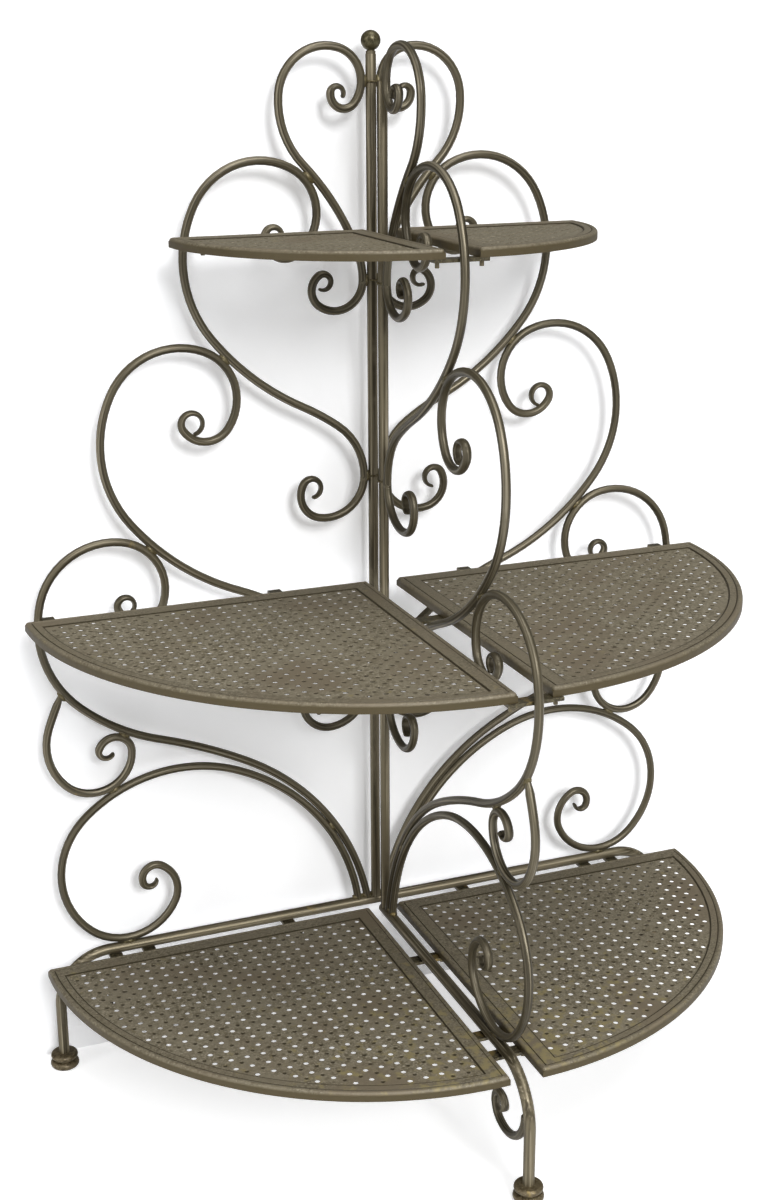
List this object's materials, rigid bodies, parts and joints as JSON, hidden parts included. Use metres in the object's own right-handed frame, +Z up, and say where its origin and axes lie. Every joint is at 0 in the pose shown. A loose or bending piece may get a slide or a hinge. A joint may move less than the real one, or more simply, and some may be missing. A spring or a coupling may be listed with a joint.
{
  "type": "plant stand",
  "caption": "Half-round plant stand in bent iron rod with scrolled frames at right angles, bun feet and tiers of lift-off quarter shelves in punched sheet.",
  "frame": {"origin": "centre of the footprint's bounding box, on the floor", "axes": "+Z up, -Y towards the front foot, +X to the right of someone who faces the stand"},
  "size_m": [0.896, 0.501, 1.2612],
  "materials": {
    "bronze_frame": "satin dark bronze lacquer over iron tube, with worn streaks",
    "bronze_scroll": "satin bronze lacquer over round iron rod, brushed lighter along the rod",
    "bronze_cast": "satin bronze lacquer with golden rubbed edges",
    "bronze_shelf": "satin grey bronze lacquer over punched sheet, rubbed golden near the front edge"
  },
  "bodies": {
    "frames": {"back_post": "bronze_frame", "back_post_ball": "bronze_cast", "front_post": "bronze_frame", "back_rail": "bronze_frame", "front_rail": "bronze_frame", "crown_scroll_left": "bronze_scroll", "crown_scroll_right": "bronze_scroll", "crown_scroll_front": "bronze_scroll", "upper_scroll_left": "bronze_scroll", "upper_scroll_right": "bronze_scroll", "upper_scroll_front": "bronze_scroll", "middle_scroll_left": "bronze_scroll", "middle_scroll_right": "bronze_scroll", "middle_scroll_front": "bronze_scroll", "lower_scroll_left": "bronze_scroll", "lower_scroll_right": "bronze_scroll", "lower_scroll_front": "bronze_scroll", "base_scroll_left": "bronze_scroll", "base_scroll_right": "bronze_scroll", "base_scroll_front": "bronze_scroll", "side_scroll_left": "bronze_scroll", "side_scroll_right": "bronze_scroll", "side_scroll_front": "bronze_scroll", "leg_brace_left": "bronze_frame", "leg_brace_right": "bronze_frame", "leg_brace_front": "bronze_frame", "foot_left": "bronze_cast", "foot_right": "bronze_cast", "foot_front": "bronze_cast", "cross_bars_left": "bronze_frame", "cross_bars_right": "bronze_frame", "cross_bars_front": "bronze_frame"},
    "bottom_shelf_left": {"bottom_rim_left": "bronze_shelf", "bottom_sheet_left": "bronze_shelf", "bottom_pegs_left": "bronze_frame"},
    "bottom_shelf_right": {"bottom_rim_right": "bronze_shelf", "bottom_sheet_right": "bronze_shelf", "bottom_pegs_right": "bronze_frame"},
    "middle_shelf_left": {"middle_rim_left": "bronze_shelf", "middle_sheet_left": "bronze_shelf", "middle_pegs_left": "bronze_frame"},
    "middle_shelf_right": {"middle_rim_right": "bronze_shelf", "middle_sheet_right": "bronze_shelf", "middle_pegs_right": "bronze_frame"},
    "top_shelf_left": {"top_rim_left": "bronze_shelf", "top_sheet_left": "bronze_shelf", "top_pegs_left": "bronze_frame"},
    "top_shelf_right": {"top_rim_right": "bronze_shelf", "top_sheet_right": "bronze_shelf", "top_pegs_right": "bronze_frame"}
  },
  "joints": [
    {"name": "bottom_shelf_left_lift", "type": "slide", "parent": "frames", "child": "bottom_shelf_left", "axis": [0, 0, 1], "range_m": [0, 0.15]},
    {"name": "bottom_shelf_right_lift", "type": "slide", "parent": "frames", "child": "bottom_shelf_right", "axis": [0, 0, 1], "range_m": [0, 0.15]},
    {"name": "middle_shelf_left_lift", "type": "slide", "parent": "frames", "child": "middle_shelf_left", "axis": [0, 0, 1], "range_m": [0, 0.15]},
    {"name": "middle_shelf_right_lift", "type": "slide", "parent": "frames", "child": "middle_shelf_right", "axis": [0, 0, 1], "range_m": [0, 0.15]},
    {"name": "top_shelf_left_lift", "type": "slide", "parent": "frames", "child": "top_shelf_left", "axis": [0, 0, 1], "range_m": [0, 0.15]},
    {"name": "top_shelf_right_lift", "type": "slide", "parent": "frames", "child": "top_shelf_right", "axis": [0, 0, 1], "range_m": [0, 0.15]}
  ]
}
